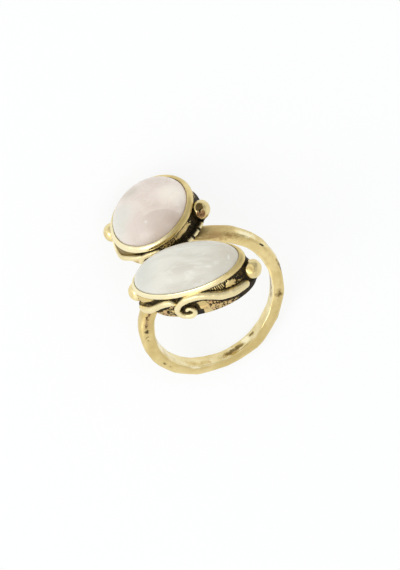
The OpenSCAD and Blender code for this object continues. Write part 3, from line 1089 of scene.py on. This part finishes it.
def antique_gold(name, rough, beaten):
    material, tree, shader = new_material(name)
    where = make(tree, "ShaderNodeTexCoord", None, None, "Object")
    dark, matt, pink = (attribute(tree, label, "Fac") for label in ("dark", "matt", "pink"))
    slow, fine, grit = (cloud(tree, where, *size) for size in (SLOW, FINE, GRIT))
    patina_and_shade = between(tree, dark + (fine - 0.5) * 0.7 + (grit - 0.5) * 0.4, 0.38, 0.78)
    black = mix(tree, between(tree, fine + grit, 0.95, 1.35), colour(26, 20, 6), colour(92, 72, 26))
    gold = gold_colour(tree, matt, pink, slow, fine, grit)
    put(tree, shader.inputs["Base Color"], mix(tree, patina_and_shade, gold, black))
    put(tree, shader.inputs["Metallic"], 1.0 - patina_and_shade * 0.6)
    dull = matt * 0.20 + matt.maximum(0.0) * 0.2 + patina_and_shade * 0.3
    put(tree, shader.inputs["Roughness"], rough + slow * 0.08 + dull)
    shader.inputs["Specular IOR Level"].default_value = 0.3
    height = fine * 0.5 + slow * 0.5 + matt * grit * 0.9 - patina_and_shade * 0.6
    if beaten:
        cells = make(
            tree, "ShaderNodeTexVoronoi", {"feature": "SMOOTH_F1"},
            {"Vector": where, "Scale": DIMPLES, "Smoothness": 0.5}, "Distance",
        )
        height = height + cells * cells * beaten
    relief = {"Height": height, "Strength": BUMP_STRENGTH, "Distance": BUMP_HEIGHT}
    put(tree, shader.inputs["Normal"], make(tree, "ShaderNodeBump", None, relief, "Normal"))
    return material


satin = antique_gold("satin_gold", 0.25, 0)
drawn = antique_gold("drawn_gold", 0.46, 0)
hammered = antique_gold("hammered_gold", 0.20, 2.0)
for gold in gold_pieces:
    gold.data.materials.append(hammered if gold.name == "band" else drawn if gold.name in WIRES else satin)

# %% [markdown]
# The stones are cloudy quartz. Light goes a little way in, so their colour is soft. Clouds, wisps and
# zones are placed in the stone's own millimetres: a zone is a soft ball round a point, mixed in where
# the surface passes near it. Zones give the large tones that make one stone differ from another, and
# some of them paint highlights and shade.

# %% Cloudy stones
GRAIN_TURN = (0, 0, 0.12)
INNER_LIGHT = 0.3
LIGHT_REACH = (1.0, 0.9, 0.8)


def zone(tree, where, centre, size, inner):
    off = make(tree, "ShaderNodeVectorMath", {"operation": "SUBTRACT"}, {0: where, 1: centre})
    scaled = make(tree, "ShaderNodeVectorMath", {"operation": "DIVIDE"}, {0: off, 1: size})
    away = make(tree, "ShaderNodeVectorMath", {"operation": "LENGTH"}, {0: scaled}, "Value")
    return between(tree, away, inner, 1.0, 1.0, 0.0)


def stone(name, light, shade, wisp, stretch, tones_and_painted_light):
    material, tree, shader = new_material(name)
    where = attribute(tree, "local", "Vector")
    mapping = {"Vector": where, "Scale": stretch, "Rotation": GRAIN_TURN}
    turned = make(tree, "ShaderNodeMapping", None, mapping)
    slow = cloud(tree, turned, 1.0, 2.0, 0.5)
    fine = cloud(tree, turned, 2.6, 6.0, 1.2)
    base = mix(tree, between(tree, slow, 0.36, 0.66), colour(*light), colour(*shade))
    base = mix(tree, between(tree, fine, 0.50, 0.68) * 0.45, base, colour(*wisp))
    for centre, size, inner, share, tint_and_painted_light in tones_and_painted_light:
        base = mix(tree, zone(tree, where, centre, size, inner) * share, base, colour(*tint_and_painted_light))
    put(tree, shader.inputs["Base Color"], base)
    put(tree, shader.inputs["Roughness"], 0.22 + slow * 0.1)
    shader.inputs["Subsurface Weight"].default_value = INNER_LIGHT
    shader.inputs["Subsurface Radius"].default_value = LIGHT_REACH
    shader.inputs["Subsurface Scale"].default_value = MM
    shader.inputs["IOR"].default_value = 1.5
    return material


# %% [markdown]
# The oval stone is a cool grey white with wisps along its length and two pale streaks; the short one
# near its right end is a painted highlight. The round one is pink, with a painted highlight at its right,
# painted shade along its upper left edge and a broad darker arc below. The last zone of each list is a
# small painted highlight, the reflection of a lamp that the soft tent of this scene doesn't hold.

# %% Tones and painted light in the stones
OVAL_TONES_AND_PAINTED_LIGHT = [
    # centre, half sizes, where it starts to fade, share, colour
    ((6.8, 0.8, 1.6), (3.4, 3.4, 3.4), 0.1, 0.7, (214, 207, 190)),
    ((-5.8, -0.5, 2.0), (4.2, 4.2, 4.2), 0.1, 0.95, (214, 215, 207)),
    # a painted highlight streak
    ((4.75, -2.08, 2.5), (0.9, 0.24, 0.5), 0.0, 0.55, (248, 247, 240)),
    ((2.0, -1.2, 3.4), (2.8, 0.28, 0.6), 0.0, 0.35, (242, 241, 233)),
    # a painted highlight, the reflection of a lamp
    ((7.30, -0.60, 1.75), (0.26, 0.55, 0.6), 0.1, 0.6, (246, 248, 244)),
]
ROUND_TONES_AND_PAINTED_LIGHT = [
    ((-3.6, -2.0, 2.2), (4.4, 4.4, 4.4), 0.2, 0.85, (222, 222, 214)),
    # a painted highlight at the right
    ((4.5, 0.9, 2.3), (3.2, 2.8, 3.2), 0.2, 1.0, (255, 244, 232)),
    ((3.85, -5.6, 2.0), (4.6, 3.9, 30.0), 0.94, 0.7, (216, 201, 190)),
    ((4.9, -3.0, 1.0), (1.9, 1.3, 30.0), 0.1, 0.60, (202, 185, 172)),
    ((-0.4, -4.5, 2.2), (2.9, 3.1, 30.0), 0.25, 1.0, (229, 217, 208)),
    # painted shade along the upper left edge
    ((-2.3, 2.2, 3.2), (2.8, 1.9, 30.0), 0.1, 0.8, (205, 196, 182)),
    # a painted highlight, the reflection of a lamp
    ((1.05, -3.50, 2.8), (0.32, 0.30, 0.6), 0.1, 0.6, (250, 248, 243)),
]
GREY = ((230, 228, 218), (217, 214, 202), (240, 239, 231))
PINK = ((238, 226, 216), (227, 213, 203), (244, 236, 228))
oval_dome.data.materials.append(stone("grey_cloud", *GREY, (0.16, 0.62, 0.3), OVAL_TONES_AND_PAINTED_LIGHT))
round_dome.data.materials.append(stone("pink_cloud", *PINK, (0.35, 0.35, 0.3), ROUND_TONES_AND_PAINTED_LIGHT))

# %% [markdown]
# The table is plain and pale. On a white sheet under strong light a shadow is hardly seen. More lamps
# would wash out the gold as well, so the sheet gives off a little light of its own instead.

# %% The table
FLOOR_HALF = 1.5
FLOOR_GLOW = 0.80
floor_mesh = bpy.data.meshes.new("floor")
corners = [(-FLOOR_HALF, -FLOOR_HALF, 0), (FLOOR_HALF, -FLOOR_HALF, 0)]
corners += [(FLOOR_HALF, FLOOR_HALF, 0), (-FLOOR_HALF, FLOOR_HALF, 0)]
floor_mesh.from_pydata(corners, [], [(0, 1, 2, 3)])
floor = bpy.data.objects.new("floor", floor_mesh)
bpy.context.collection.objects.link(floor)
material, tree, shader = new_material("pale_table")
shader.inputs["Base Color"].default_value = (0.2, 0.2, 0.2, 1)
shader.inputs["Roughness"].default_value = 0.9
shader.inputs["Emission Color"].default_value = (0.98, 0.995, 0.995, 1)
shader.inputs["Emission Strength"].default_value = FLOOR_GLOW
floor_mesh.materials.append(material)
print("table, in m:", 2 * FLOOR_HALF)

# %% [markdown]
# Polished metal shows what is round it, so the light is a white tent, brighter at the left and darker at
# the far right, with a soft dark opening for the camera and uneven panels. Only gloss needs all that:
# the soft light that falls on dull surfaces is one even level, so that the stones keep their colour.

# %% The tent of light
TO_CAMERA = Vector((-0.04387, 0.11350, 0.99254)).normalized()
BRIGHT_SIDE = Vector((-0.90, -0.35, 0.25)).normalized()
DARK_SIDE = Vector((0.40, 0.85, 0.10)).normalized()
TENT_LEVEL = 0.80
LEFT_GLOW = 0.45
RIGHT_GLOOM = 0.22
OPENING_GLOOM = 0.25
SOFT_LEVEL = 0.82

world = bpy.data.worlds.new("tent")
bpy.context.scene.world = world
world.use_nodes = True
tree = world.node_tree
way = make(tree, "ShaderNodeTexCoord", None, None, "Generated")


def towards(direction):
    return make(tree, "ShaderNodeVectorMath", {"operation": "DOT_PRODUCT"}, {0: way, 1: direction}, "Value")


opening = between(tree, towards(TO_CAMERA), 0.86, 0.98)
left_glow = between(tree, towards(BRIGHT_SIDE), 0.0, 0.9)
right_gloom = between(tree, towards(DARK_SIDE), 0.2, 0.9)
patches = between(tree, cloud(tree, way, 1.7, 2.0), 0.38, 0.62)
sides = TENT_LEVEL + left_glow * LEFT_GLOW - right_gloom * RIGHT_GLOOM
seen_in_gold = sides * (0.82 + patches * 0.36) * (1.0 - opening * OPENING_GLOOM)
soft_share = make(tree, "ShaderNodeLightPath", None, None, "Is Diffuse Ray")
level = seen_in_gold * (1.0 - soft_share) + soft_share * SOFT_LEVEL
tree.nodes["Background"].inputs["Color"].default_value = (1.0, 0.995, 0.98, 1)
put(tree, tree.nodes["Background"].inputs["Strength"], level)
print("tent made of", len(tree.nodes), "nodes")

# %% [markdown]
# One large lamp stands at the left, as a window would. It is a wide disk, because a small lamp would
# draw hard shadows and sharp points of light, and its light gives the beads and the rims their form.

# %% The lamp
LAMP_PLACE = (-0.32, -0.02, 0.30)
LAMP_SIZE = 0.24
LAMP_POWER = 0.35

lamp_data = bpy.data.lights.new("left_lamp", "AREA")
lamp_data.shape = "DISK"
lamp_data.size = LAMP_SIZE
lamp_data.energy = LAMP_POWER
lamp = bpy.data.objects.new("left_lamp", lamp_data)
lamp.location = LAMP_PLACE
lamp.rotation_mode = "QUATERNION"
lamp.rotation_quaternion = (-Vector(LAMP_PLACE)).to_track_quat("-Z", "Y")
bpy.context.collection.objects.link(lamp)
print("lamp, in m from the ring:", round(Vector(LAMP_PLACE).length, 3))

# %% [markdown]
# The photograph looks almost straight down on the resting ring, so that it seems to stand. A long lens
# far away keeps its proportions flat, and the picture's up leans across the table. The distance comes
# from how many pixels a millimetre takes in the photograph.

# %% Camera
PICTURE_W = 400
PICTURE_H = 570
PIXELS_PER_MM = 7.24
FINGER_PIXEL = (212.7, 305.8)
PICTURE_UP = Vector((0.28062, 0.95493, -0.09684))
LENS = 600
SENSOR = 36

up = (PICTURE_UP - TO_CAMERA * PICTURE_UP.dot(TO_CAMERA)).normalized()
right = up.cross(TO_CAMERA)
cam_data = bpy.data.cameras.new("camera")
cam_data.lens = LENS
cam_data.sensor_fit = "AUTO"
cam_data.sensor_width = SENSOR
cam_data.clip_start = 0.01
cam_data.clip_end = 100
distance = PICTURE_H / PIXELS_PER_MM * MM / 2 / (SENSOR / 2 / LENS)
aim = on_table((0, 0, 0)) + right * ((PICTURE_W / 2 - FINGER_PIXEL[0]) / PIXELS_PER_MM * MM)
aim = aim + up * ((FINGER_PIXEL[1] - PICTURE_H / 2) / PIXELS_PER_MM * MM)
facing = Matrix((right, up, TO_CAMERA)).transposed().to_4x4()
camera = bpy.data.objects.new("camera", cam_data)
camera.matrix_world = Matrix.Translation(aim + TO_CAMERA * distance) @ facing
bpy.context.collection.objects.link(camera)
bpy.context.scene.camera = camera
bpy.context.scene.view_settings.view_transform = "Standard"
print("camera distance in m:", round(distance, 3))

# %% [markdown]
